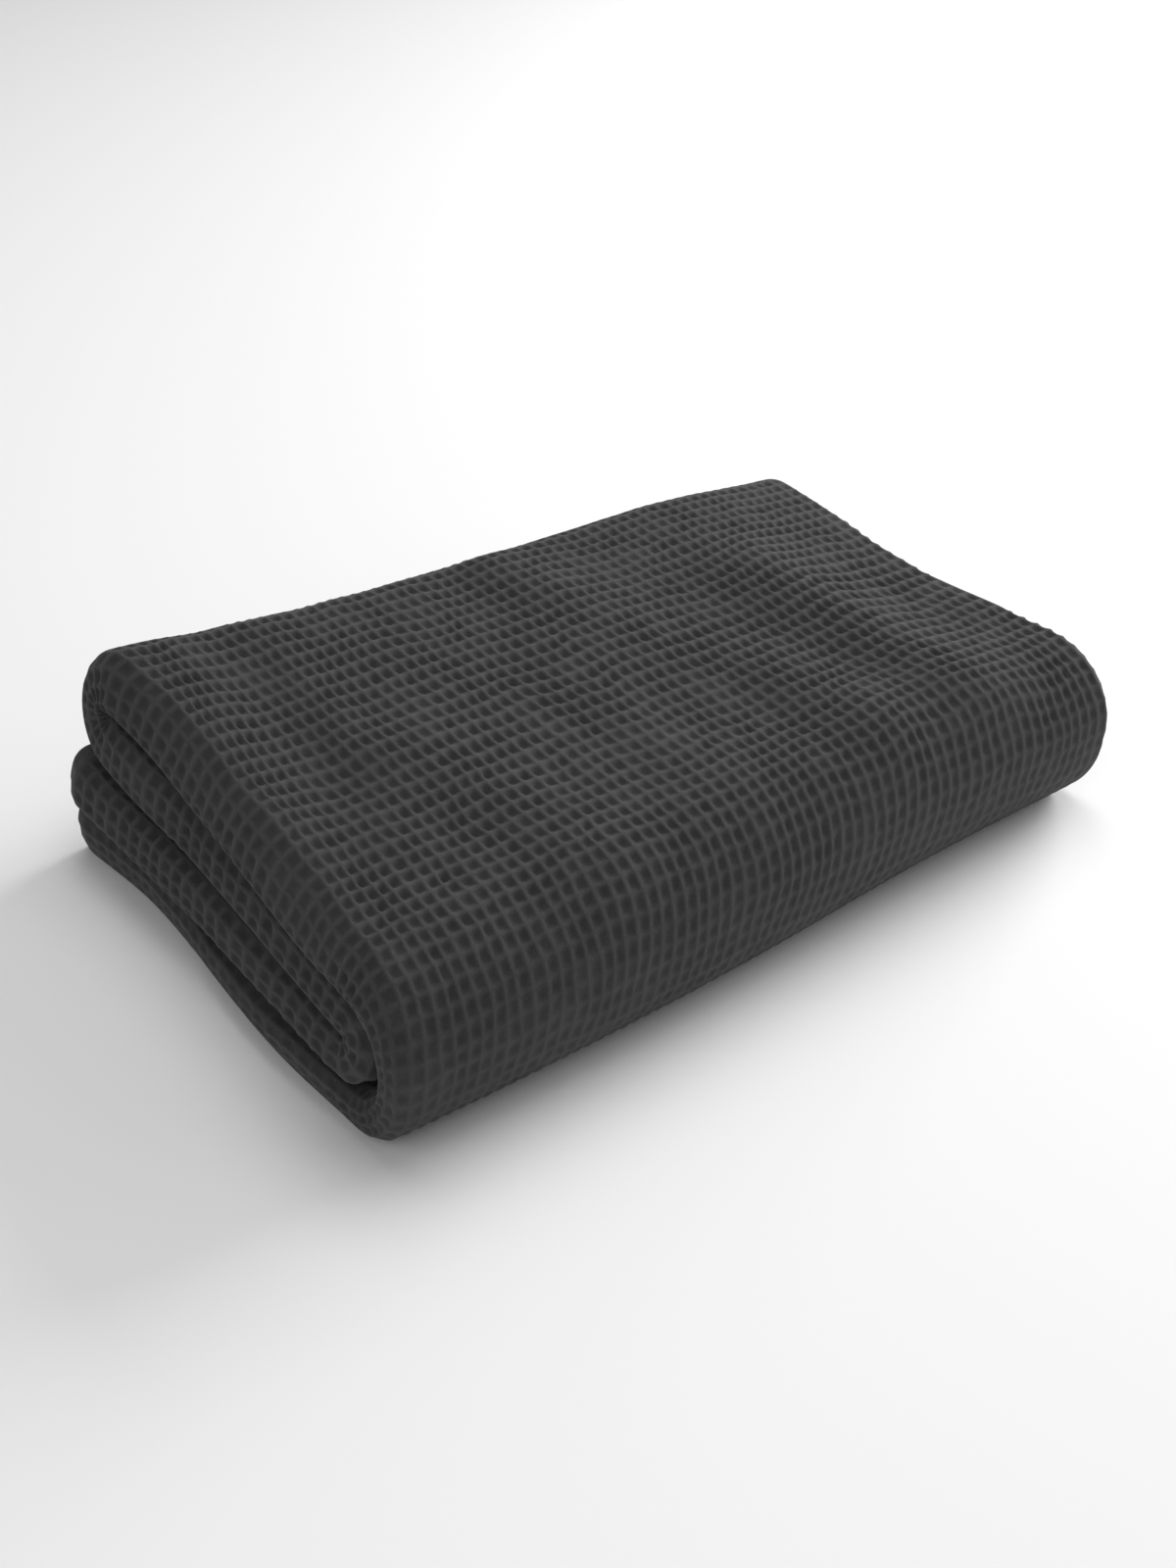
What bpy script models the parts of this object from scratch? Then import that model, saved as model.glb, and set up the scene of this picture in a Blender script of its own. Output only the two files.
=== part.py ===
"""Folded waffle weave cotton blanket: one cloth, folded both ways into a block.

The cloth is folded in four across its width, which gives a pad of four sheets with
its round edge at the left end. The pad is then laid back and forth into four layers,
closed along the front. Metres, +Z up, resting on z = 0, the front facing -Y.
"""
import math

import bmesh
import bpy
import numpy as np

NODE_NAME = "blanket"
MATERIAL_NAME = "waffle_cotton"
CLOTH_COLOUR = (0.042, 0.042, 0.043, 1.0)
CLOTH_ROUGHNESS = 0.95

# Sheets, pads and block
SHEET = 0.0056            # thickness over the waffle ridges
SHEET_GAP = 0.0015        # air between two sheets
SHEETS_PER_PAD = 4
LAYERS = 4
BLOCK_LENGTH = 0.4575     # along X, round edge to open end
BLOCK_DEPTH = 0.2900      # along Y, front fold to back

# Cloth ends tucked short of the block's open faces
OUTER_HEM_BACK = 0.006
INNER_HEM_BACK = 0.012
LAYER_END_BACK = 0.004

# Front fold of the outer layers, radii of the pad's middle line
TOP_TURN = 0.044
BOTTOM_TURN = 0.031
INNER_TURN_SETBACK = 0.044    # from the front wall's middle line to the inner turn's centre

# Round edge of the pad at the left end
NOSE_SQUARENESS = 3.3     # 2 is a half circle, more is fuller at its corners
NOSE_REACH = 0.045        # how far in from the left end the nose leans
# How much further out each pad's nose stands at its foot, per height in the pad,
# by the share of the way along the folded pad.
LEAN = ((0.00, 0.12), (0.20, 0.12),     # third layer
        (0.26, 0.25), (0.42, 0.25),     # second layer
        (0.52, 0.50), (0.62, 0.50),     # top layer
        (0.78, -0.15), (1.00, -0.15))   # lowest layer, leaning the other way

# Mesh steps
FAR_STEPS = 6
NEAR_STEPS = 2
STRAIGHT_STEPS_Y = 6
SMALL_TURN_STEPS = 6
NOSE_STEPS = 12
FRONT_TURN_STEPS = 6

SHEET_PITCH = SHEET + SHEET_GAP
PAD = SHEETS_PER_PAD * SHEET + (SHEETS_PER_PAD - 1) * SHEET_GAP
PAD_PITCH = PAD + SHEET_GAP
BLOCK_HEIGHT = LAYERS * PAD_PITCH - SHEET_GAP

# Round edges at the left end, set in (+) or jutting out (-), a row for each fold:
# share of the way along the folded pad, amount.
LEFT_SETBACK = ((0.00, -0.010),    # third layer: its free back end juts out
                (0.10, -0.002),
                (0.20, 0.000),
                (0.34, 0.006),     # second layer, set in
                (0.45, 0.004),     # back turn
                (0.50, 0.012),     # top layer: furthest in at the back
                (0.58, 0.010),
                (0.66, 0.002),     # its front
                (0.70, 0.000),     # front wall
                (0.76, 0.003),     # its foot, set in
                (0.83, -0.003),    # lowest layer: its front
                (0.95, 0.000),
                (1.00, -0.008))    # its free back end juts out
# Open end at the right, out (+) or in (-), by the same share.
RIGHT_REACH = ((0.00, 0.003),      # third and second layers
               (0.50, 0.003),      # top layer: its back corner
               (0.60, -0.010),     # drawn in at the kink
               (0.66, 0.000),      # its front
               (0.75, 0.024),      # foot of the front, pushed out
               (0.88, 0.004),      # lowest layer
               (1.00, -0.002))
LEFT_FADE = 0.15
RIGHT_FADE = 0.22

# Front face set back (+) or bulging out (-), by X, and its foot's own share.
FRONT_SETBACK = ((-0.229, -0.013), (-0.120, -0.012), (0.000, -0.007),
                 (0.120, -0.001), (0.229, 0.003))
FOOT_SETBACK = ((-0.229, 0.013), (0.000, 0.009), (0.120, 0.012), (0.229, 0.011))
FRONT_FADE = 0.16
# Front wall pressed thinner, so the inner layers come forward, by Y.
WALL_PRESS = ((-0.149, 0.000), (-0.113, -0.009), (0.020, 0.000), (0.149, 0.000))

# Top raised (+) or sunk (-), a column for each X and a row for each Y.
TOP_X = (-0.229, -0.115, 0.000, 0.130, 0.229)
TOP_Y = (-0.145, -0.060, 0.040, 0.145)
TOP_LIFT = ((-0.003, 0.000, 0.000, 0.000, -0.002),
            (-0.006, 0.000, 0.000, 0.000, -0.002),
            (0.000, 0.000, 0.000, -0.002, -0.007),
            (0.016, 0.003, -0.003, -0.005, -0.015))


def curve(value, table):
    """Smooth line through a table of (place, amount), level beyond its ends."""
    places, amounts = np.array(table, float).T
    slopes = np.gradient(amounts, places)
    low = np.clip(np.searchsorted(places, value) - 1, 0, len(places) - 2)
    span = places[low + 1] - places[low]
    t = np.clip((value - places[low]) / span, 0.0, 1.0)
    rise = amounts[low + 1] - amounts[low]
    start = slopes[low] * span
    end = slopes[low + 1] * span
    bend = (start + end - 2.0 * rise) * t + 3.0 * rise - 2.0 * start - end
    return amounts[low] + t * (start + t * bend)


def surface(x, y, x_places, y_places, rows):
    """Smooth sheet through a small grid of heights."""
    total = np.zeros(np.shape(x))
    for index, row in enumerate(rows):
        weight = [0.0] * len(y_places)
        weight[index] = 1.0
        along_x = curve(x, tuple(zip(x_places, row)))
        total += along_x * curve(y, tuple(zip(y_places, weight)))
    return total


def fade(distance, length):
    """1 at no distance, easing to 0 at the given length."""
    t = np.clip(1.0 - distance / length, 0.0, 1.0)
    return t * t * (3.0 - 2.0 * t)


def line(start, end, normal, steps):
    """Points from start up to, not including, end."""
    places = []
    for step in range(steps):
        t = step / steps
        a = start[0] + (end[0] - start[0]) * t
        b = start[1] + (end[1] - start[1]) * t
        places.append((a, b, normal[0], normal[1]))
    return places


def arc(centre, radius, first, last, steps, side):
    """Arc points between two angles in degrees, normals out (1) or in (-1)."""
    places = []
    for step in range(steps):
        angle = math.radians(first + (last - first) * step / steps)
        c = math.cos(angle)
        s = math.sin(angle)
        places.append((centre[0] + radius * c, centre[1] + radius * s, side * c, side * s))
    return places


def power(value, exponent):
    """Power of the size, with the sign kept."""
    return math.copysign(abs(value) ** exponent, value)


def squared_arc(centre, radius, first, last, steps, side):
    """An arc with fuller corners, as the folded edge of a soft pad has."""
    places = []
    for step in range(steps):
        angle = math.radians(first + (last - first) * step / steps)
        a = power(math.cos(angle), 2.0 / NOSE_SQUARENESS)
        b = power(math.sin(angle), 2.0 / NOSE_SQUARENESS)
        normal_a = power(a, NOSE_SQUARENESS - 1.0)
        normal_b = power(b, NOSE_SQUARENESS - 1.0)
        size = side * math.hypot(normal_a, normal_b)
        place = (centre[0] + radius * a, centre[1] + radius * b, normal_a / size, normal_b / size)
        places.append(place)
    return places


def sheet_line(first, last, height, normal_height):
    """One sheet of the pad from x to x, with closer points near the left end."""
    near = -BLOCK_LENGTH / 2.0 + NOSE_REACH
    normal = (0.0, normal_height)
    to_left = last < first
    steps = (FAR_STEPS, NEAR_STEPS) if to_left else (NEAR_STEPS, FAR_STEPS)
    places = line((first, height), (near, height), normal, steps[0])
    return places + line((near, height), (last, height), normal, steps[1])


def pad_section():
    """Middle line of the cloth across the pad: (x, height in pad, normal x, normal height)."""
    half = BLOCK_LENGTH / 2.0
    outer = 1.5 * SHEET_PITCH
    inner = 0.5 * SHEET_PITCH
    nose = -half + PAD / 2.0
    loop = half - SHEET_PITCH / 2.0 - SHEET / 2.0
    places = sheet_line(half - INNER_HEM_BACK, nose, -inner, -1.0)
    places += arc((nose, 0.0), inner, 270.0, 90.0, SMALL_TURN_STEPS, 1.0)
    places += sheet_line(nose, loop, inner, 1.0)
    places += arc((loop, SHEET_PITCH), inner, -90.0, 90.0, SMALL_TURN_STEPS, -1.0)
    places += sheet_line(loop, nose, outer, -1.0)
    places += squared_arc((nose, 0.0), outer, 90.0, 270.0, NOSE_STEPS, -1.0)
    places += sheet_line(nose, half - OUTER_HEM_BACK, -outer, 1.0)
    places.append((half - OUTER_HEM_BACK, -outer, 0.0, 1.0))
    return np.array(places)


def fold_path():
    """Middle line of the pad back and forth: (y, z, normal y, normal z)."""
    back = BLOCK_DEPTH / 2.0
    wall = -back + PAD / 2.0
    low = PAD / 2.0
    heights = [low + PAD_PITCH * layer for layer in range(LAYERS)]
    half_turn = PAD_PITCH / 2.0
    inner_y = wall + INNER_TURN_SETBACK
    back_y = back - PAD / 2.0 - half_turn
    top_y = wall + TOP_TURN
    bottom_y = wall + BOTTOM_TURN
    end = back - LAYER_END_BACK
    top_centre = (top_y, heights[3] - TOP_TURN)
    bottom_centre = (bottom_y, heights[0] + BOTTOM_TURN)
    up = (0.0, 1.0)
    down = (0.0, -1.0)
    places = line((end, heights[1]), (inner_y, heights[1]), up, STRAIGHT_STEPS_Y)
    places += arc((inner_y, heights[1] + half_turn), half_turn, 270.0, 90.0, SMALL_TURN_STEPS, -1.0)
    places += line((inner_y, heights[2]), (back_y, heights[2]), down, STRAIGHT_STEPS_Y)
    places += arc((back_y, heights[2] + half_turn), half_turn, -90.0, 90.0, SMALL_TURN_STEPS, 1.0)
    places += line((back_y, heights[3]), (top_y, heights[3]), up, STRAIGHT_STEPS_Y)
    places += arc(top_centre, TOP_TURN, 90.0, 180.0, FRONT_TURN_STEPS, 1.0)
    places += line((wall, top_centre[1]), (wall, bottom_centre[1]), (-1.0, 0.0), 1)
    places += arc(bottom_centre, BOTTOM_TURN, 180.0, 270.0, FRONT_TURN_STEPS, 1.0)
    places += line((bottom_y, heights[0]), (end, heights[0]), down, STRAIGHT_STEPS_Y)
    places.append((end, heights[0], 0.0, -1.0))
    return np.array(places)


def share_along(path):
    """Share of the pad's length passed at each station, 0 to 1."""
    steps = np.hypot(np.diff(path[:, 0]), np.diff(path[:, 1]))
    passed = np.concatenate(([0.0], np.cumsum(steps)))
    return passed / passed[-1]


def folded_points(section, path, share, offset):
    """Points of the cloth at an offset from its middle line, before the block is shaped."""
    across = section[:, 0] + offset * section[:, 2]
    lift = section[:, 1] + offset * section[:, 3]
    near_nose = lift * fade(across + BLOCK_LENGTH / 2.0, NOSE_REACH)
    lean = curve(share, LEAN) * path[:, 3]
    x = across[:, None] + near_nose[:, None] * lean[None, :]
    y = path[None, :, 0] + lift[:, None] * path[None, :, 2]
    z = path[None, :, 1] + lift[:, None] * path[None, :, 3]
    return np.stack([x, y, z], axis=-1)


def shape_block(points, share):
    """Give the even block its real outline: ends by layer, front, and uneven top."""
    x, y, z = np.moveaxis(points, -1, 0)
    half = BLOCK_LENGTH / 2.0
    left = curve(share, LEFT_SETBACK) * fade(x + half, LEFT_FADE)
    right = curve(share, RIGHT_REACH) * fade(half - x, RIGHT_FADE)
    foot = curve(x, FOOT_SETBACK) * fade(z, BLOCK_HEIGHT)
    front = (curve(x, FRONT_SETBACK) + foot) * fade(y + BLOCK_DEPTH / 2.0, FRONT_FADE)
    press = curve(y, WALL_PRESS)
    lift = surface(x, y, TOP_X, TOP_Y, TOP_LIFT)
    return np.stack([x + left + right, y + front + press, z + lift * z / BLOCK_HEIGHT], axis=-1)


def centre_block(points):
    """Move the shape so that its box is centred on X = Y = 0."""
    flat = points.reshape(-1, 3)
    middle = (flat.min(axis=0) + flat.max(axis=0)) / 2.0
    middle[2] = 0.0
    return points - middle


def cloth_points():
    """Both faces of the folded cloth as a grid: (face, across, along, xyz)."""
    section = pad_section()
    path = fold_path()
    share = share_along(path)
    faces = []
    for side in (0.5, -0.5):
        flat = folded_points(section, path, share, side * SHEET)
        faces.append(shape_block(flat, share))
    return centre_block(np.array(faces))


def cloth_quads(across, along):
    """Corner numbers of every quad: two faces and the rim that joins them."""
    count = across * along
    quads = []
    for i in range(across - 1):
        for j in range(along - 1):
            corner = i * along + j
            quad = (corner, corner + along, corner + along + 1, corner + 1)
            quads.append(quad)
            quads.append(tuple(number + count for number in reversed(quad)))
    edge = [i * along for i in range(across)]
    edge += [(across - 1) * along + j for j in range(1, along)]
    edge += [i * along + along - 1 for i in range(across - 2, -1, -1)]
    edge += list(range(along - 2, 0, -1))
    for number, after in zip(edge, edge[1:] + edge[:1]):
        quads.append((after, number, number + count, after + count))
    return quads


def make_material():
    """Dark neutral cotton."""
    material = bpy.data.materials.new(MATERIAL_NAME)
    material.use_nodes = True
    shader = material.node_tree.nodes["Principled BSDF"]
    shader.inputs["Base Color"].default_value = CLOTH_COLOUR
    shader.inputs["Roughness"].default_value = CLOTH_ROUGHNESS
    return material


def make_blanket():
    """One closed solid: the whole cloth in its folds."""
    points = cloth_points()
    across, along = points.shape[1:3]
    mesh = bpy.data.meshes.new(NODE_NAME)
    mesh.from_pydata(points.reshape(-1, 3).tolist(), [], cloth_quads(across, along))
    shell = bmesh.new()
    shell.from_mesh(mesh)
    bmesh.ops.triangulate(shell, faces=shell.faces[:])
    bmesh.ops.recalc_face_normals(shell, faces=shell.faces[:])
    shell.to_mesh(mesh)
    shell.free()
    mesh.materials.append(make_material())
    blanket = bpy.data.objects.new(NODE_NAME, mesh)
    bpy.context.scene.collection.objects.link(blanket)


def clear_scene():
    """Take out whatever the file opened with."""
    for item in list(bpy.data.objects):
        bpy.data.objects.remove(item, do_unlink=True)


def main():
    clear_scene()
    make_blanket()


main()
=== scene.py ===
"""Looks of the folded waffle weave cotton blanket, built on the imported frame.

The cloth is laid out in waffle cells, u across it and v along it. Each point of its two
faces is carried through the same folds as the solid's, and the outer face has the waffle
as real relief. Metres, +Z up, the front facing -Y.
"""

import math

import bpy
import numpy as np
from mathutils import Matrix, Vector


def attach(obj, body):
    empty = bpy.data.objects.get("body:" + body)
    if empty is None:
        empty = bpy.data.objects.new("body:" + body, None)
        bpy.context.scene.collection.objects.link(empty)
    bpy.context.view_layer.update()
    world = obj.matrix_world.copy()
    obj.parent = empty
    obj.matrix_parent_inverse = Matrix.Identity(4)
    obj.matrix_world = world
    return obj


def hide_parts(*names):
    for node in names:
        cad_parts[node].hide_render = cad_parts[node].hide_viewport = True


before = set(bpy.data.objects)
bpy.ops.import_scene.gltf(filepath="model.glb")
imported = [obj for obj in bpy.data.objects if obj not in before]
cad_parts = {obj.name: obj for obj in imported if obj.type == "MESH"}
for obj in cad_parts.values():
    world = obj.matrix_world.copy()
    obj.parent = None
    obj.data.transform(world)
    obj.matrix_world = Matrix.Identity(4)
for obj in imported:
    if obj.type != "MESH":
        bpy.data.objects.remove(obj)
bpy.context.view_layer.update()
NODE = "blanket"

# ---------------------------------------------------------------- folded form
# Sheets, pads and block, the same sizes as the solid's
SHEET = 0.0056            # thickness over the waffle ridges
SHEET_GAP = 0.0015        # air between two sheets
SHEETS_PER_PAD = 4
LAYERS = 4
BLOCK_LENGTH = 0.4575     # along X, round edge to open end
BLOCK_DEPTH = 0.2900      # along Y, front fold to back

# Cloth ends tucked short of the block's open faces
OUTER_HEM_BACK = 0.006
INNER_HEM_BACK = 0.012
LAYER_END_BACK = 0.004

# Front fold of the outer layers, radii of the pad's middle line
TOP_TURN = 0.044
BOTTOM_TURN = 0.031
INNER_TURN_SETBACK = 0.044    # from the front wall's middle line to the inner turn's centre

# Round edge of the pad at the left end
NOSE_SQUARENESS = 3.3     # 2 is a half circle, more is fuller at its corners
NOSE_REACH = 0.045        # how far in from the left end the nose leans
# How much further out each pad's nose stands at its foot, per height in the pad,
# by the share of the way along the folded pad.
LEAN = ((0.00, 0.12), (0.20, 0.12),     # third layer
        (0.26, 0.25), (0.42, 0.25),     # second layer
        (0.52, 0.50), (0.62, 0.50),     # top layer
        (0.78, -0.15), (1.00, -0.15))   # lowest layer, leaning the other way

SHEET_PITCH = SHEET + SHEET_GAP
PAD = SHEETS_PER_PAD * SHEET + (SHEETS_PER_PAD - 1) * SHEET_GAP
PAD_PITCH = PAD + SHEET_GAP
BLOCK_HEIGHT = LAYERS * PAD_PITCH - SHEET_GAP

# Round edges at the left end, set in (+) or jutting out (-), a row for each fold:
# share of the way along the folded pad, amount.
LEFT_SETBACK = ((0.00, -0.010),    # third layer: its free back end juts out
                (0.10, -0.002),
                (0.20, 0.000),
                (0.34, 0.006),     # second layer, set in
                (0.45, 0.004),     # back turn
                (0.50, 0.012),     # top layer: furthest in at the back
                (0.58, 0.010),
                (0.66, 0.002),     # its front
                (0.70, 0.000),     # front wall
                (0.76, 0.003),     # its foot, set in
                (0.83, -0.003),    # lowest layer: its front
                (0.95, 0.000),
                (1.00, -0.008))    # its free back end juts out
# Open end at the right, out (+) or in (-), by the same share.
RIGHT_REACH = ((0.00, 0.003),      # third and second layers
               (0.50, 0.003),      # top layer: its back corner
               (0.60, -0.010),     # drawn in at the kink
               (0.66, 0.000),      # its front
               (0.75, 0.024),      # foot of the front, pushed out
               (0.88, 0.004),      # lowest layer
               (1.00, -0.002))
LEFT_FADE = 0.15
RIGHT_FADE = 0.22

# Front face set back (+) or bulging out (-), by X, and its foot's own share. Both are
# rounded from a fit to the outline, not set by hand.
FRONT_SETBACK = ((-0.229, -0.013), (-0.120, -0.012), (0.000, -0.007),
                 (0.120, -0.001), (0.229, 0.003))
FOOT_SETBACK = ((-0.229, 0.013), (0.000, 0.009), (0.120, 0.012), (0.229, 0.011))
FRONT_FADE = 0.16
# Front wall pressed thinner, so the inner layers come forward, by Y.
WALL_PRESS = ((-0.149, 0.000), (-0.113, -0.009), (0.020, 0.000), (0.149, 0.000))

# Top raised (+) or sunk (-), a column for each X and a row for each Y. Most of it is
# rounded from a fit to the outline.
TOP_X = (-0.229, -0.115, 0.000, 0.130, 0.229)
TOP_Y = (-0.145, -0.060, 0.040, 0.145)
TOP_LIFT = ((-0.003, 0.000, 0.000, 0.000, -0.002),
            (-0.006, 0.000, 0.000, 0.000, -0.002),
            (0.000, 0.000, 0.000, -0.002, -0.007),
            (0.016, 0.003, -0.003, -0.005, -0.015))

# Where the shaped block's middle lies before it is centred on the solid.
MIDDLE = np.array([0.00709, -0.00423, 0.0])

# ---------------------------------------------------------------- soft form, finer than the solid's
# The pads swell until their left folds all but touch.
NOSE_SWELL = 0.053        # share of a pad's height
NOSE_SWELL_LEVEL = 0.035  # in full up to here from the left end
NOSE_SWELL_REACH = 0.080  # and gone this much further in
# The free corners round off in plan.
CORNER = 0.008
CORNER_SHARE = 0.016      # of the way along the folded pad
CORNER_BEND = 0.96        # 1 would turn a full quarter
# Soft ridges (+) and troughs (-) over the top:
# back end x, y, front end x, y, half width, height.
CREASES = ((-0.165, 0.115, -0.178, -0.005, 0.021, -0.0026),
           (-0.120, -0.005, -0.100, -0.125, 0.024, 0.0014),
           (-0.016, 0.115, -0.020, 0.075, 0.018, -0.0014),
           (0.014, 0.115, 0.022, 0.080, 0.018, 0.0020),
           (0.066, 0.110, 0.072, 0.040, 0.030, -0.0012),
           (0.150, 0.110, 0.146, 0.070, 0.032, 0.0016),
           (0.141, 0.030, 0.147, -0.100, 0.032, 0.0050),
           (0.076, -0.045, 0.090, -0.110, 0.026, 0.0030),
           (-0.024, -0.030, -0.018, -0.110, 0.018, 0.0008))
CREASE_SPREAD = 1.6       # half widths to where a crease has faded out
SOFT_POWER = 3            # how quickly the creases fade below the top
# Slight unevenness of the stack: height, lump length along X and Y, seed.
RIPPLES = ((0.0006, 0.045, 0.060, 1),
           (0.0004, 0.021, 0.026, 2))

# ---------------------------------------------------------------- weave
COLUMN = 0.0073           # waffle cell across
ROW = 0.0101              # waffle cell along
# The rows lie closer before the front fold and are drawn longer over it, by the
# share of the way along the folded pad.
ROW_STRETCH = ((0.48, 1.00), (0.57, 1.00), (0.62, 0.84), (0.67, 0.84), (0.70, 1.12),
               (0.77, 1.12), (0.81, 1.00))
CELL_DEPTH = 0.0018
RIDGE_FLAT = 0.03         # half of a ridge's level top, in cells
POST_SLOPE = 0.29         # how far the lengthwise ridges slope down, in cells
RAIL_SLOPE = 0.34         # and the crosswise ones
RAIL_TOP = 0.98           # height of the crosswise ridges on top
RAIL_FRONT = 0.60         # and where the cloth is drawn over the front fold
FRONT_RELIEF = 0.72       # how much of the relief is left there
HEM_BAND = 0.012          # turned and stitched band along every edge
HEM_EASE = 0.003          # width over which it eases into the waffle
HEM_RELIEF = 0.45         # how much of the waffle still shows on it
# Unevenness of the weave: amount, lump length in columns and rows, seed.
COLUMN_WAVER = ((0.24, 5.3, 3.7, 3), (0.15, 1.9, 1.6, 4))    # in cells
ROW_WAVER = ((0.22, 4.1, 4.6, 5), (0.13, 1.7, 1.8, 6))       # in cells
DEPTH_WAVER = ((0.32, 1.3, 1.3, 7), (0.20, 6.0, 4.0, 8))     # share of the depth
# Uneven numbers that scatter the noise.
SCATTER = (127.1, 311.7, 74.7)
SCATTER_SCALE = 43758.5453

# ---------------------------------------------------------------- mesh steps
# Points along the section's and the path's middle lines
INNER_NOSE_STEPS = 16
LOOP_STEPS = 24
NOSE_STEPS = 60
INNER_TURN_STEPS = 32
BACK_TURN_STEPS = 40
TOP_LAYER_STEPS = 16
FRONT_TURN_STEPS = 32
# Where each visible cell is cut, as shares of it
COLUMN_CUTS = (0.0, 0.17, 0.39, 0.61, 0.83)
ROW_CUTS = (0.0, 0.15, 0.38, 0.62, 0.85)
BASE_ROW_CUTS = (0.0, 0.25, 0.50, 0.75)
CUT_MARGIN = 0.05         # no cut nearer to an end row than this
LOOP_MARGIN = 1           # columns cut by the end rows past the loop
NOSE_TOP_MARGIN = 2       # and on the pad's outside before the nose
NOSE_FOOT_MARGIN = 1      # and under the nose
CLEAR_BEFORE = 0.3        # coarse columns stay this far before the fine ones
CLEAR_AFTER = 0.5         # and this far after them
# Coarse steps, for what isn't seen
COARSE_COLUMN_STEPS = (8, 6, 8, 8, 8, 10, 8)    # for each part of the section
COARSE_TURN_STEPS = 8
COARSE_ROW_STEP = 3.0     # rows
SAME_PLACE = 1e-9

UP = (0.0, 1.0)
DOWN = (0.0, -1.0)
FORWARD = (-1.0, 0.0)


def curve(value, table):
    """Smooth line through a table of (place, amount), level beyond its ends."""
    places, amounts = np.array(table, float).T
    slopes = np.gradient(amounts, places)
    low = np.clip(np.searchsorted(places, value) - 1, 0, len(places) - 2)
    span = places[low + 1] - places[low]
    t = np.clip((value - places[low]) / span, 0.0, 1.0)
    rise = amounts[low + 1] - amounts[low]
    start = slopes[low] * span
    end = slopes[low + 1] * span
    bend = (start + end - 2.0 * rise) * t + 3.0 * rise - 2.0 * start - end
    return amounts[low] + t * (start + t * bend)


def surface(x, y, x_places, y_places, rows):
    """Smooth sheet through a small grid of heights."""
    total = np.zeros(np.shape(x))
    for index, row in enumerate(rows):
        weight = [0.0] * len(y_places)
        weight[index] = 1.0
        along_x = curve(x, tuple(zip(x_places, row)))
        total += along_x * curve(y, tuple(zip(y_places, weight)))
    return total


def ease(t):
    """0 up to 0, 1 from 1, and smooth between them."""
    t = np.clip(t, 0.0, 1.0)
    return t * t * (3.0 - 2.0 * t)


def fade(distance, length):
    """1 at no distance, easing to 0 at the given length."""
    return ease(1.0 - distance / length)


def line(start, end, normal, steps):
    """Points of a straight stretch with their normal, without the last point."""
    places = []
    for step in range(steps):
        t = step / steps
        a = start[0] + (end[0] - start[0]) * t
        b = start[1] + (end[1] - start[1]) * t
        places.append((a, b, normal[0], normal[1]))
    return places


def arc(centre, radius, first, last, steps, side):
    """Points of an arc, its normals facing out (1) or in (-1), without the last point."""
    places = []
    for step in range(steps):
        angle = math.radians(first + (last - first) * step / steps)
        c = math.cos(angle)
        s = math.sin(angle)
        places.append((centre[0] + radius * c, centre[1] + radius * s, side * c, side * s))
    return places


def power(value, exponent):
    """A power that keeps the value's sign."""
    return math.copysign(abs(value) ** exponent, value)


def squared_arc(centre, radius, first, last, steps, side):
    """An arc with fuller corners, as the folded edge of a soft pad has."""
    places = []
    for step in range(steps):
        angle = math.radians(first + (last - first) * step / steps)
        a = power(math.cos(angle), 2.0 / NOSE_SQUARENESS)
        b = power(math.sin(angle), 2.0 / NOSE_SQUARENESS)
        normal_a = power(a, NOSE_SQUARENESS - 1.0)
        normal_b = power(b, NOSE_SQUARENESS - 1.0)
        size = math.hypot(normal_a, normal_b)
        places.append((centre[0] + radius * a, centre[1] + radius * b,
                       side * normal_a / size, side * normal_b / size))
    return places


def chain(parts, end):
    """One table of the parts' points and normals, and the number at which each part starts."""
    starts = np.cumsum([0] + [len(part) for part in parts])
    places = [place for part in parts for place in part] + [end]
    return np.array(places), starts


def lengths(points):
    """Length passed at each point of a line."""
    steps = np.linalg.norm(np.diff(points, axis=0), axis=1)
    return np.concatenate(([0.0], np.cumsum(steps)))


class Section:
    """Middle line of the cloth across the pad, numbered in waffle columns."""

    def __init__(self):
        half = BLOCK_LENGTH / 2.0
        outer = 1.5 * SHEET_PITCH
        inner = 0.5 * SHEET_PITCH
        nose = -half + PAD / 2.0
        loop = half - SHEET_PITCH / 2.0 - SHEET / 2.0
        inner_end = half - INNER_HEM_BACK
        outer_end = half - OUTER_HEM_BACK
        parts = (line((inner_end, -inner), (nose, -inner), DOWN, 1),
                 arc((nose, 0.0), inner, 270.0, 90.0, INNER_NOSE_STEPS, 1.0),
                 line((nose, inner), (loop, inner), UP, 1),
                 arc((loop, SHEET_PITCH), inner, -90.0, 90.0, LOOP_STEPS, -1.0),
                 line((loop, outer), (nose, outer), DOWN, 1),
                 squared_arc((nose, 0.0), outer, 90.0, 270.0, NOSE_STEPS, -1.0),
                 line((nose, -outer), (outer_end, -outer), UP, 1))
        self.table, starts = chain(parts, (outer_end, -outer, *UP))
        outside = self.table[:, :2] - 0.5 * SHEET * self.table[:, 2:]
        self.columns = lengths(outside) / COLUMN
        self.width = lengths(self.table[:, :2])[-1]
        self.at = [float(self.columns[number]) for number in starts]

    def look_up(self, u):
        """Points and normals at column u."""
        return [np.interp(u, self.columns, values) for values in self.table.T]


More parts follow.
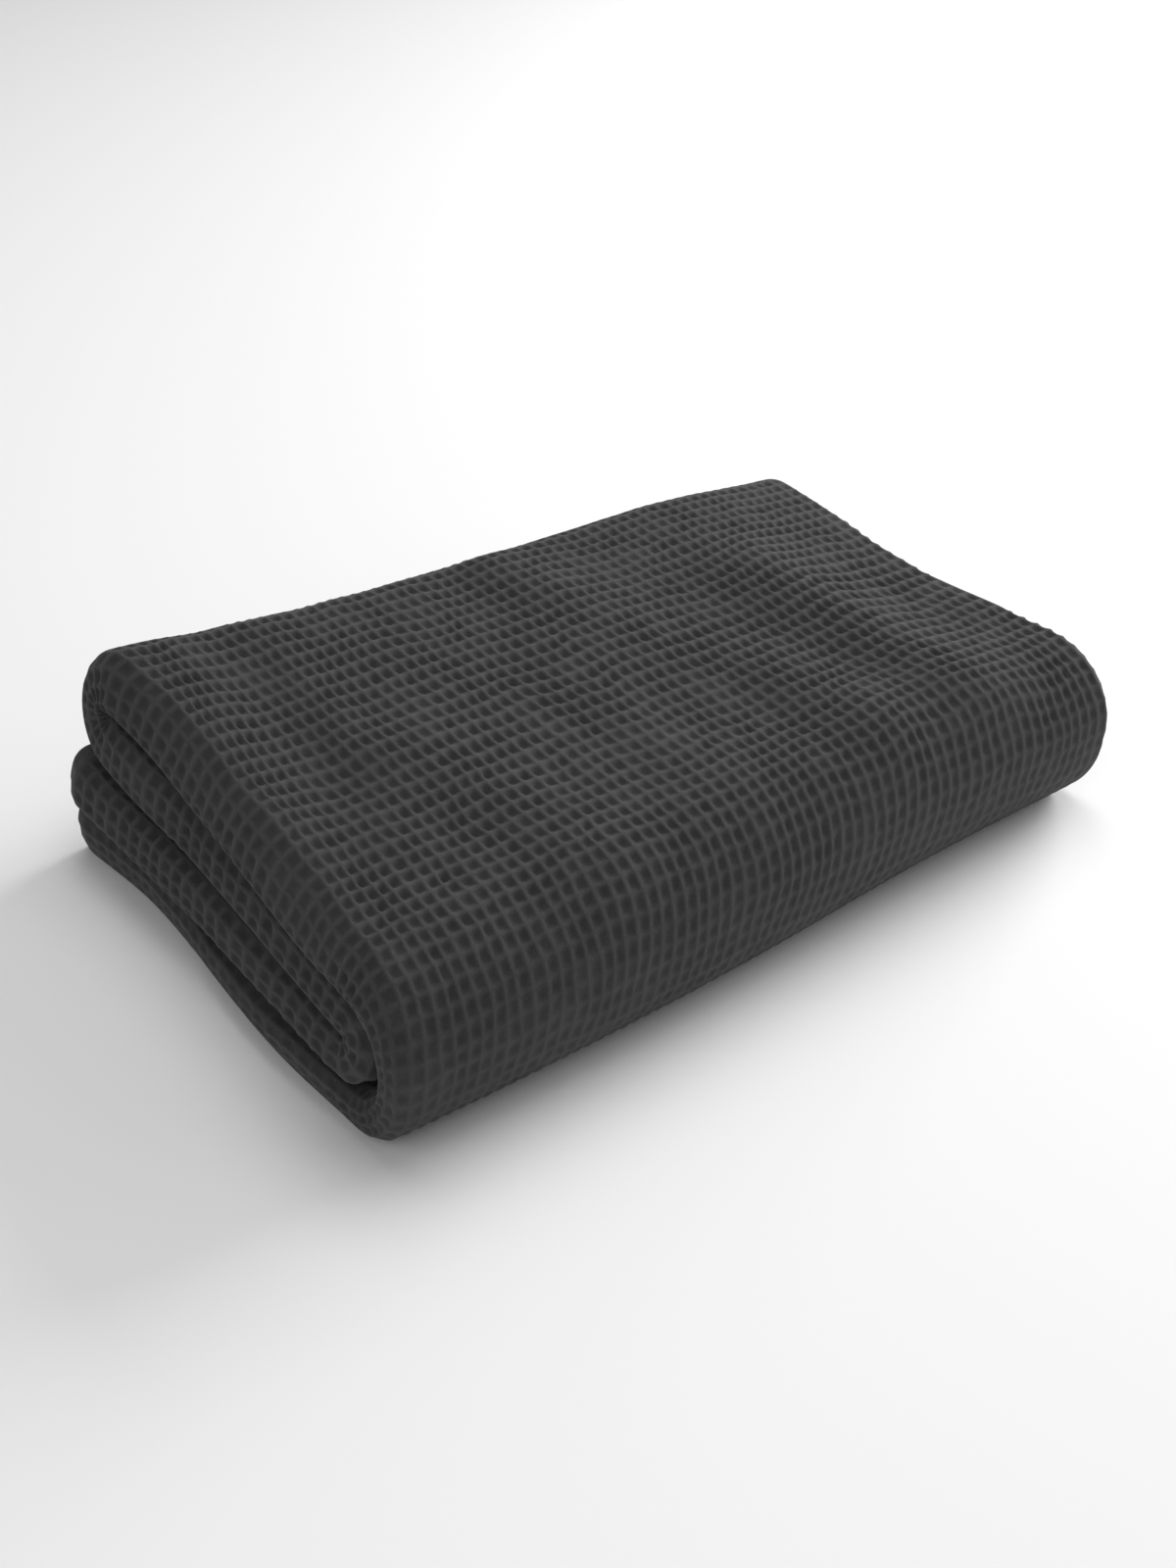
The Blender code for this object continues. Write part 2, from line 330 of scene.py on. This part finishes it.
class Path:
    """Middle line of the pad back and forth, numbered in waffle rows."""

    def __init__(self):
        back = BLOCK_DEPTH / 2.0
        wall = -back + PAD / 2.0
        lowest, third, second, top = [PAD / 2.0 + PAD_PITCH * layer for layer in range(LAYERS)]
        half_turn = PAD_PITCH / 2.0
        inner_y = wall + INNER_TURN_SETBACK
        back_y = back - PAD / 2.0 - half_turn
        top_y = wall + TOP_TURN
        bottom_y = wall + BOTTOM_TURN
        end = back - LAYER_END_BACK
        top_z = top - TOP_TURN
        bottom_z = lowest + BOTTOM_TURN
        parts = (line((end, third), (inner_y, third), UP, 1),
                 arc((inner_y, third + half_turn), half_turn, 270.0, 90.0, INNER_TURN_STEPS, -1.0),
                 line((inner_y, second), (back_y, second), DOWN, 1),
                 arc((back_y, second + half_turn), half_turn, -90.0, 90.0, BACK_TURN_STEPS, 1.0),
                 line((back_y, top), (top_y, top), UP, TOP_LAYER_STEPS),
                 arc((top_y, top_z), TOP_TURN, 90.0, 180.0, FRONT_TURN_STEPS, 1.0),
                 line((wall, top_z), (wall, bottom_z), FORWARD, 1),
                 arc((bottom_y, bottom_z), BOTTOM_TURN, 180.0, 270.0, FRONT_TURN_STEPS, 1.0),
                 line((bottom_y, lowest), (end, lowest), DOWN, 1))
        self.table, starts = chain(parts, (end, lowest, *DOWN))
        self.middle = lengths(self.table[:, :2])
        self.share = self.middle / self.middle[-1]
        self.rows = self.count_rows(starts[1], starts[2])
        self.at = [float(self.rows[number]) for number in starts]

    def count_rows(self, turn_start, turn_end):
        """Rows passed at each point, along the pad's outside.

        In the inner turn the outside is the inside of the bend, so there the rows
        follow the middle line.
        """
        outside = self.table[:, :2] + 0.5 * PAD * self.table[:, 2:]
        step = np.diff(lengths(outside))
        step[turn_start:turn_end] = np.diff(self.middle)[turn_start:turn_end]
        row = ROW * curve((self.share[1:] + self.share[:-1]) / 2.0, ROW_STRETCH)
        return np.concatenate(([0.0], np.cumsum(step / row)))

    def look_up(self, v):
        """Points and normals at row v."""
        return [np.interp(v, self.rows, values) for values in self.table.T]

    def share_at(self, v):
        """Share of the way along the folded pad at row v."""
        return np.interp(v, self.rows, self.share)


SECTION = Section()
PATH = Path()
LOOP_START, LOOP_END, NOSE_START, NOSE_END, LAST_COLUMN = SECTION.at[3:]
BACK_TURN_ROW = PATH.at[3]
TOP_TURN_ROW = PATH.at[5]     # where the top layer starts to turn down
WALL_ROW = PATH.at[6]         # where the front wall starts
LOWEST_ROW = PATH.at[8]       # where the lowest layer starts
LAST_ROW = PATH.at[-1]


def lattice(i, j, seed):
    """A fixed number from 0 to 1 for each whole place."""
    value = np.sin(SCATTER[0] * i + SCATTER[1] * j + SCATTER[2] * seed) * SCATTER_SCALE
    return value - np.floor(value)


def noise(u, v, seed):
    """Smooth noise from -1 to 1 with one lump per unit."""
    i = np.floor(u)
    j = np.floor(v)
    s = ease(u - i)
    t = ease(v - j)
    low = lattice(i, j, seed) * (1.0 - s) + lattice(i + 1, j, seed) * s
    high = lattice(i, j + 1, seed) * (1.0 - s) + lattice(i + 1, j + 1, seed) * s
    return 2.0 * (low * (1.0 - t) + high * t) - 1.0


def uneven(u, v, table):
    """Sum of the table's noises: amount, lump length along u and v, seed."""
    return sum(amount * noise(u / length_u, v / length_v, seed)
               for amount, length_u, length_v, seed in table)


def crease_lift(x, y):
    """Height of the soft ridges and troughs."""
    total = np.zeros(np.shape(x))
    for x0, y0, x1, y1, width, height in CREASES:
        dx = x1 - x0
        dy = y1 - y0
        t = np.clip(((x - x0) * dx + (y - y0) * dy) / (dx * dx + dy * dy), 0.0, 1.0)
        away = np.hypot(x - x0 - t * dx, y - y0 - t * dy)
        total += height * fade(away, CREASE_SPREAD * width)
    return total


def corner(share):
    """Setback of the left folds where they run out at the free back ends."""
    near = np.clip(1.0 - np.minimum(share, 1.0 - share) / CORNER_SHARE, 0.0, 1.0)
    return CORNER * (1.0 - np.sqrt(1.0 - CORNER_BEND * near * near))


def shape_block(points, share):
    """The block's real outline, then its soft ridges."""
    x, y, z = np.moveaxis(points, -1, 0)
    half = BLOCK_LENGTH / 2.0
    left = (curve(share, LEFT_SETBACK) + corner(share)) * fade(x + half, LEFT_FADE)
    right = curve(share, RIGHT_REACH) * fade(half - x, RIGHT_FADE)
    foot = curve(x, FOOT_SETBACK) * fade(z, BLOCK_HEIGHT)
    front = (curve(x, FRONT_SETBACK) + foot) * fade(y + BLOCK_DEPTH / 2.0, FRONT_FADE)
    press = curve(y, WALL_PRESS)
    lift = surface(x, y, TOP_X, TOP_Y, TOP_LIFT)
    high = z / BLOCK_HEIGHT
    soft = (crease_lift(x, y) + uneven(x, y, RIPPLES)) * high ** SOFT_POWER
    return np.stack([x + left + right, y + front + press, z + lift * high + soft], axis=-1)


def cloth(u, v, offset):
    """Points of the cloth at column u and row v, offset inwards (+) or outwards (-)."""
    x, height, nx, nh = SECTION.look_up(u)
    y, z, ny, nz = PATH.look_up(v)
    section_size = np.hypot(nx, nh)
    path_size = np.hypot(ny, nz)
    ny = ny / path_size
    nz = nz / path_size
    x = x + offset * nx / section_size
    from_left = x + BLOCK_LENGTH / 2.0
    past_swell = np.maximum(from_left - NOSE_SWELL_LEVEL, 0.0)
    swell = 1.0 + NOSE_SWELL * fade(past_swell, NOSE_SWELL_REACH)
    lift = (height + offset * nh / section_size) * swell
    share = PATH.share_at(v)
    x = x + curve(share, LEAN) * lift * nz * fade(from_left, NOSE_REACH)
    points = np.stack([x, y + lift * ny, z + lift * nz], axis=-1)
    points = shape_block(points, share) - MIDDLE
    points[..., 2] = np.maximum(points[..., 2], 0.0)    # flat on the surface it lies on
    return points


def waffle_share(u, v):
    """How much of the waffle shows: HEM_RELIEF along the edges of the cloth, 1 inside."""
    u_room = np.minimum(u, LAST_COLUMN - u) * COLUMN
    v_room = np.minimum(v, LAST_ROW - v) * ROW
    room = np.minimum(u_room, v_room)
    return HEM_RELIEF + (1.0 - HEM_RELIEF) * ease((room - HEM_BAND) / HEM_EASE)


def drawn(v, on_top, on_front):
    """A value that eases from the top's to the front's over the front fold."""
    return on_top + (on_front - on_top) * ease((v - TOP_TURN_ROW) / (WALL_ROW - TOP_TURN_ROW))


def waffle_depth(u, v):
    """How deep the outer face lies under the ridges' tops, from 0 to 1."""
    from_column = np.abs(u - np.round(u))
    from_row = np.abs(v - np.round(v))
    post = 1.0 - ease((from_column - RIDGE_FLAT) / POST_SLOPE)
    rail = 1.0 - ease((from_row - RIDGE_FLAT) / RAIL_SLOPE)
    return (1.0 - post) * (1.0 - drawn(v, RAIL_TOP, RAIL_FRONT) * rail)


def outer_face(u, v):
    """The waffled side of the cloth."""
    shown = waffle_share(u, v)
    relief = CELL_DEPTH * drawn(v, 1.0, FRONT_RELIEF) * shown
    depth = relief * waffle_depth(u, v) * (1.0 + uneven(u, v, DEPTH_WAVER))
    wandered_u = u + uneven(u, v, COLUMN_WAVER) * shown
    wandered_v = v + uneven(u, v, ROW_WAVER) * shown
    return cloth(wandered_u, wandered_v, -0.5 * SHEET + depth)


def inner_face(u, v):
    """The plain side, which lies against other sheets."""
    return cloth(u, v, 0.5 * SHEET)


# ---------------------------------------------------------------- meshing
def cuts(first, last, places):
    """Sample places from cell first to cell last, not including last."""
    return [cell + place for cell in range(first, last) for place in places]


def spread(knots, steps):
    """Knots with each span cut into its number of steps."""
    places = []
    for low, high, count in zip(knots, knots[1:], steps):
        places += [low + (high - low) * k / count for k in range(count)]
    return places + [knots[-1]]


def clipped(places, low, high):
    """The places from low to just under high."""
    return [place for place in places if low <= place < high]


def coarse_rows(first, last):
    """Rows of the unseen parts, close enough to follow each turn."""
    knots = [first] + [row for row in PATH.at if first < row < last] + [last]
    steps = []
    for low, high in zip(knots, knots[1:]):
        part = sum((low + high) / 2.0 > row for row in PATH.at) - 1
        is_turn = part % 2 == 1
        steps.append(COARSE_TURN_STEPS if is_turn else max(1, round((high - low) / COARSE_ROW_STEP)))
    return spread(knots, steps)


def fine_rows(first, last, row_cuts):
    """Rows cut as the waffle needs."""
    inside = [row for row in cuts(math.floor(first), math.ceil(last), row_cuts)
              if first + CUT_MARGIN < row < last - CUT_MARGIN]
    return [first] + inside + [last]


class Sheet:
    """Collects the grids and strips of one closed piece of cloth."""

    def __init__(self):
        self.points = []
        self.weave = []
        self.faces = []
        self.count = 0

    def grid(self, columns, rows, face):
        """Adds a grid of points, returns their numbers, a row of them for each column."""
        u, v = np.meshgrid(columns, rows, indexing="ij")
        numbers = np.arange(self.count, self.count + u.size)
        self.count += u.size
        self.points.append(face(u, v).reshape(-1, 3))
        self.weave.append(np.stack([u.ravel(), v.ravel()], axis=-1))
        return numbers.reshape(u.shape)

    def fill(self, numbers, flip):
        """Adds the faces of a grid."""
        a = numbers[:-1, :-1].ravel()
        b = numbers[1:, :-1].ravel()
        c = numbers[1:, 1:].ravel()
        d = numbers[:-1, 1:].ravel()
        quads = np.stack([a, b, c, d] if flip else [d, c, b, a], axis=-1)
        self.faces += quads.tolist()

    def add_face(self, corners, flip):
        self.faces.append([int(number) for number in (corners if flip else corners[::-1])])

    def join(self, low, low_places, high, high_places, flip):
        """Joins two lines of points whose places along them differ."""
        i = j = 0
        while i < len(low) - 1 or j < len(high) - 1:
            next_low = low_places[i + 1] if i < len(low) - 1 else math.inf
            next_high = high_places[j + 1] if j < len(high) - 1 else math.inf
            if abs(next_low - next_high) < SAME_PLACE:
                self.add_face([low[i], high[j], high[j + 1], low[i + 1]], flip)
                i += 1
                j += 1
            elif next_low < next_high:
                self.add_face([low[i], high[j], low[i + 1]], flip)
                i += 1
            else:
                self.add_face([low[i], high[j], high[j + 1]], flip)
                j += 1


def outer_bands(coarse, plain_rows, end_rows, top_rows):
    """Columns and rows of the outer face's strips, fine where they can be seen.

    The first and the last strip are unseen, the second is the loop at the open end, the
    third the pad's outside and the fourth its round edge.
    """
    loop = math.floor(LOOP_START)
    after_loop = math.ceil(LOOP_END) + LOOP_MARGIN
    before_nose = math.floor(NOSE_START) - NOSE_TOP_MARGIN
    after_nose = math.ceil(NOSE_END) + NOSE_FOOT_MARGIN
    under = clipped(coarse, after_nose + CLEAR_AFTER, LAST_COLUMN)
    return ((clipped(coarse, 0.0, loop - CLEAR_BEFORE), plain_rows),
            (cuts(loop, after_loop, COLUMN_CUTS), end_rows),
            (cuts(after_loop, before_nose, COLUMN_CUTS), top_rows),
            (cuts(before_nose, after_nose, COLUMN_CUTS), end_rows),
            ([after_nose] + under + [LAST_COLUMN], plain_rows))


def close_edges(sheet, bands, grids, inner, columns, rows):
    """Joins the outer face to the inner one along all four edges."""
    all_columns = [column for band_columns, _ in bands for column in band_columns]
    start_line = np.concatenate([numbers[:, 0] for numbers in grids])
    end_line = np.concatenate([numbers[:, -1] for numbers in grids])
    sheet.join(start_line, all_columns, inner[:, 0], columns, False)
    sheet.join(end_line, all_columns, inner[:, -1], columns, True)
    sheet.join(grids[0][0], bands[0][1], inner[0], rows, True)
    sheet.join(grids[-1][-1], bands[-1][1], inner[-1], rows, False)


def build_sheet(name, first, last, top_cuts, end_cuts):
    """One closed length of the folded cloth between two rows, plain where no cuts are given."""
    sheet = Sheet()
    coarse = spread(SECTION.at, COARSE_COLUMN_STEPS)
    plain_rows = coarse_rows(first, last)
    top_rows = fine_rows(first, last, top_cuts) if top_cuts else plain_rows
    bands = outer_bands(coarse, plain_rows, fine_rows(first, last, end_cuts), top_rows)
    grids = [sheet.grid(columns, rows, outer_face) for columns, rows in bands]
    for numbers in grids:
        sheet.fill(numbers, True)
    for before, after, (_, rows_before), (_, rows) in zip(grids, grids[1:], bands, bands[1:]):
        sheet.join(before[-1], rows_before, after[0], rows, True)
    inner = sheet.grid(coarse, plain_rows, inner_face)
    sheet.fill(inner, False)
    close_edges(sheet, bands, grids, inner, coarse, plain_rows)
    return make_object(name, sheet)


def make_object(name, sheet):
    """The sheet as an object that carries its weave places and how much waffle shows."""
    mesh = bpy.data.meshes.new(name)
    mesh.from_pydata(np.concatenate(sheet.points).tolist(), [], sheet.faces)
    weave = np.concatenate(sheet.weave)
    layer = mesh.uv_layers.new(name="weave")
    corners = np.zeros(len(mesh.loops), np.int32)
    mesh.loops.foreach_get("vertex_index", corners)
    layer.data.foreach_set("uv", weave[corners].astype(np.float32).ravel())
    waffle = mesh.attributes.new("waffle", "FLOAT", "POINT")
    waffle.data.foreach_set("value", waffle_share(weave[:, 0], weave[:, 1]).astype(np.float32))
    mesh.shade_smooth()
    mesh.validate()
    piece = bpy.data.objects.new(name, mesh)
    bpy.context.scene.collection.objects.link(piece)
    return piece


# ---------------------------------------------------------------- material
# Grey of the ridges, and the grey of the cells, painted darker as shade in the hollows
RIDGE_TONE = 0.050
CELL_SHADE_TONE = 0.029
BLUE_SHARE = 1.01         # the charcoal is a trace bluish
CELL_SHADE_REACH = 0.85         # share of a ridge's slope over which the painted shade of the cells sets in
# Uneven dye and yarn: lumps per metre, how far the tone moves towards ridge or cell.
HEATHER = (900.0, 0.18)
WORN = (110.0, 0.22)
NOISE_DETAIL = 2.0
NOISE_LOW = 0.3           # noise that counts as least
NOISE_HIGH = 0.7          # and as most
WARP_PER_COLUMN = 12      # yarns
WEFT_PER_ROW = 16
YARN_TURN = 0.12          # cells to either side over which warp gives way to weft
FUZZ_SCALE = 1400.0
FUZZ = 0.6                # height of the fuzz against the yarns
BUMP_STRENGTH = 0.6
BUMP_HEIGHT = 0.0003
SHADER_VALUES = (("Roughness", 0.95), ("Specular IOR Level", 0.25),
                 ("Sheen Weight", 0.10), ("Sheen Roughness", 0.5))


class Graph:
    """Short calls for a material's nodes."""

    def __init__(self, name):
        self.material = bpy.data.materials.new(name)
        self.material.use_nodes = True
        self.tree = self.material.node_tree
        self.shader = self.tree.nodes["Principled BSDF"]

    def node(self, kind):
        return self.tree.nodes.new(kind)

    def put(self, socket, value):
        """Links a socket, or sets its value."""
        if isinstance(value, bpy.types.NodeSocket):
            self.tree.links.new(value, socket)
        else:
            socket.default_value = value

    def math(self, operation, *values):
        node = self.node("ShaderNodeMath")
        node.operation = operation
        for socket, value in zip(node.inputs, values):
            self.put(socket, value)
        return node.outputs[0]

    def smooth(self, value, low, high, to_low, to_high):
        """A value that eases from to_low at low to to_high at high."""
        node = self.node("ShaderNodeMapRange")
        node.interpolation_type = "SMOOTHSTEP"
        for name, number in (("Value", value), ("From Min", low), ("From Max", high),
                             ("To Min", to_low), ("To Max", to_high)):
            self.put(node.inputs[name], number)
        return node.outputs["Result"]

    def mix(self, share, first, second):
        node = self.node("ShaderNodeMix")
        node.data_type = "RGBA"
        self.put(node.inputs["Factor"], share)
        self.put(node.inputs["A"], first)
        self.put(node.inputs["B"], second)
        return next(output for output in node.outputs if output.type == "RGBA")

    def noise(self, vector, scale):
        node = self.node("ShaderNodeTexNoise")
        self.put(node.inputs["Vector"], vector)
        self.put(node.inputs["Scale"], scale)
        self.put(node.inputs["Detail"], NOISE_DETAIL)
        return node.outputs["Fac"]


def grey(level):
    return (level, level, level * BLUE_SHARE, 1.0)


def weave_places(g):
    """The column and the row of each point of the cloth."""
    weave = g.node("ShaderNodeUVMap")
    weave.uv_map = "weave"
    parts = g.node("ShaderNodeSeparateXYZ")
    g.put(parts.inputs[0], weave.outputs[0])
    return parts.outputs[0], parts.outputs[1]


def painted_cell_shade(g, v, from_column, from_row):
    """Painted shade in the cells: 0 on the ridges, up to 1 down in the cells, less where the relief
    is lower.
    """
    post = g.smooth(from_column, 0.0, CELL_SHADE_REACH * POST_SLOPE, 1.0, 0.0)
    rail = g.smooth(from_row, 0.0, CELL_SHADE_REACH * RAIL_SLOPE, 1.0, 0.0)
    rail_height = g.smooth(v, TOP_TURN_ROW, WALL_ROW, RAIL_TOP, RAIL_FRONT)
    ridge = g.math("MAXIMUM", post, g.math("MULTIPLY", rail, rail_height))
    waffle = g.node("ShaderNodeAttribute")
    waffle.attribute_name = "waffle"
    relief = g.smooth(v, TOP_TURN_ROW, WALL_ROW, 1.0, FRONT_RELIEF)
    shown = g.math("MULTIPLY", waffle.outputs["Fac"], relief)
    return g.math("MULTIPLY", g.math("SUBTRACT", 1.0, ridge), shown)


def uneven_tone(g, place, scale, amount):
    """A tone that wanders from -amount to amount."""
    return g.smooth(g.noise(place, scale), NOISE_LOW, NOISE_HIGH, -amount, amount)


def yarn_height(g, u, v, from_column, from_row, place):
    """Yarns along the lengthwise ridges and across on the others, with their fuzz."""
    warp = g.math("PINGPONG", g.math("MULTIPLY", u, WARP_PER_COLUMN), 0.5)
    weft = g.math("PINGPONG", g.math("MULTIPLY", v, WEFT_PER_ROW), 0.5)
    across = g.smooth(g.math("SUBTRACT", from_column, from_row), -YARN_TURN, YARN_TURN, 0.0, 1.0)
    yarn = g.math("ADD", g.math("MULTIPLY", warp, g.math("SUBTRACT", 1.0, across)),
                  g.math("MULTIPLY", weft, across))
    return g.math("ADD", yarn, g.math("MULTIPLY", g.noise(place, FUZZ_SCALE), FUZZ))


def cotton():
    """Charcoal waffle cotton: lighter ridges, cells painted darker as shade in the hollows, fine
    yarn.
    """
    g = Graph("waffle_cotton_cloth")
    u, v = weave_places(g)
    place = g.node("ShaderNodeTexCoord").outputs["Object"]
    from_column = g.math("PINGPONG", u, 0.5)
    from_row = g.math("PINGPONG", v, 0.5)
    # Painted shade of the cells, moved about by the uneven heather and dye
    cell = painted_cell_shade(g, v, from_column, from_row)
    painted_shade_and_heather = g.math("ADD", g.math("ADD", cell, uneven_tone(g, place, *HEATHER)),
                  uneven_tone(g, place, *WORN))
    g.put(g.shader.inputs["Base Color"], g.mix(painted_shade_and_heather, grey(RIDGE_TONE), grey(CELL_SHADE_TONE)))
    for name, value in SHADER_VALUES:
        g.put(g.shader.inputs[name], value)
    bump = g.node("ShaderNodeBump")
    g.put(bump.inputs["Strength"], BUMP_STRENGTH)
    g.put(bump.inputs["Distance"], BUMP_HEIGHT)
    g.put(bump.inputs["Height"], yarn_height(g, u, v, from_column, from_row, place))
    g.put(g.shader.inputs["Normal"], bump.outputs["Normal"])
    return g.material


# ---------------------------------------------------------------- pieces
# Three lengths of the one cloth, each under 200,000 triangles. They meet under the back
# turn and behind the foot of the front.
BACK_SEAM = math.floor(BACK_TURN_ROW) + 0.5
FOOT_SEAM = math.ceil(LOWEST_ROW) + 0.5
# Name, first row, last row, cuts of the rows on the pad's outside and at its two ends
PIECES = (("blanket_outer", BACK_SEAM, FOOT_SEAM, ROW_CUTS, ROW_CUTS),
          ("blanket_inner", 0.0, BACK_SEAM, None, ROW_CUTS),
          ("blanket_base", FOOT_SEAM, LAST_ROW, BASE_ROW_CUTS, ROW_CUTS))

material = cotton()
for name, first, last, top_cuts, end_cuts in PIECES:
    piece = build_sheet(name, first, last, top_cuts, end_cuts)
    piece.data.materials.append(material)
    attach(piece, "root")
    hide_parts(NODE)

# ---------------------------------------------------------------- stage
FLOOR_REACH = 6.0
FLOOR_WHITE = (0.90, 0.90, 0.90, 1.0)
FLOOR_ROUGHNESS = 0.9
WORLD_WHITE = (1.0, 1.0, 1.0, 1.0)
WORLD_STRENGTH = 0.15
LIGHTS_AIM = (0.0, 0.0, 0.05)
# Square soft lights: name, place, width, watts
LIGHTS = (("key", (2.4, 0.2, 1.0), 1.6, 73.0),
          ("overhead", (0.3, 0.2, 2.6), 1.8, 30.0),
          ("front_fill", (1.6, -1.6, 1.5), 1.6, 6.0),
          ("left_fill", (-2.0, -0.9, 1.9), 1.8, 19.0))


def build_floor():
    """The white surface that the blanket lies on."""
    mesh = bpy.data.meshes.new("floor")
    r = FLOOR_REACH
    mesh.from_pydata([(-r, -r, 0), (r, -r, 0), (r, r, 0), (-r, r, 0)], [], [(0, 1, 2, 3)])
    white = bpy.data.materials.new("floor_white")
    white.use_nodes = True
    shader = white.node_tree.nodes["Principled BSDF"]
    shader.inputs["Base Color"].default_value = FLOOR_WHITE
    shader.inputs["Roughness"].default_value = FLOOR_ROUGHNESS
    mesh.materials.append(white)
    floor_object = bpy.data.objects.new("floor", mesh)
    bpy.context.scene.collection.objects.link(floor_object)
    return floor_object


def build_world():
    """Faint even light from all around, and plain tones."""
    world = bpy.data.worlds.new("studio")
    world.use_nodes = True
    background = world.node_tree.nodes["Background"]
    background.inputs["Color"].default_value = WORLD_WHITE
    background.inputs["Strength"].default_value = WORLD_STRENGTH
    bpy.context.scene.world = world
    bpy.context.scene.view_settings.view_transform = "Standard"


def soft_box(name, place, size, power):
    """A square soft light that faces the blanket."""
    light = bpy.data.lights.new(name, "AREA")
    light.shape = "SQUARE"
    light.size = size
    light.energy = power
    lamp = bpy.data.objects.new(name, light)
    lamp.location = place
    lamp.rotation_euler = (Vector(LIGHTS_AIM) - Vector(place)).to_track_quat("-Z", "Y").to_euler()
    bpy.context.scene.collection.objects.link(lamp)


floor = build_floor()
build_world()
for name, place, size, power in LIGHTS:
    soft_box(name, place, size, power)

# ---------------------------------------------------------------- camera
CAMERA_PLACE = (-0.5681, -0.6550, 0.6637)
AZIMUTH = math.radians(-40.06)
ELEVATION = math.radians(36.00)
ROLL = math.radians(4.12)
LENS = 46.12              # millimetres
SENSOR = 36.0             # millimetres along the picture's longer side


def build_camera():
    """The camera, which looks down from its azimuth and elevation, rolled about its axis."""
    level = math.cos(ELEVATION)
    back = Vector((math.sin(AZIMUTH) * level, -math.cos(AZIMUTH) * level, math.sin(ELEVATION)))
    right = Vector((math.cos(AZIMUTH), math.sin(AZIMUTH), 0.0))
    up = back.cross(right)
    across = math.cos(ROLL) * right + math.sin(ROLL) * up
    upward = -math.sin(ROLL) * right + math.cos(ROLL) * up
    turned = Matrix((across, upward, back)).transposed().to_4x4()
    data = bpy.data.cameras.new("camera")
    data.lens = LENS
    data.sensor_width = SENSOR
    camera = bpy.data.objects.new("camera", data)
    camera.matrix_world = Matrix.Translation(Vector(CAMERA_PLACE)) @ turned
    bpy.context.scene.collection.objects.link(camera)
    return camera


bpy.context.scene.camera = build_camera()
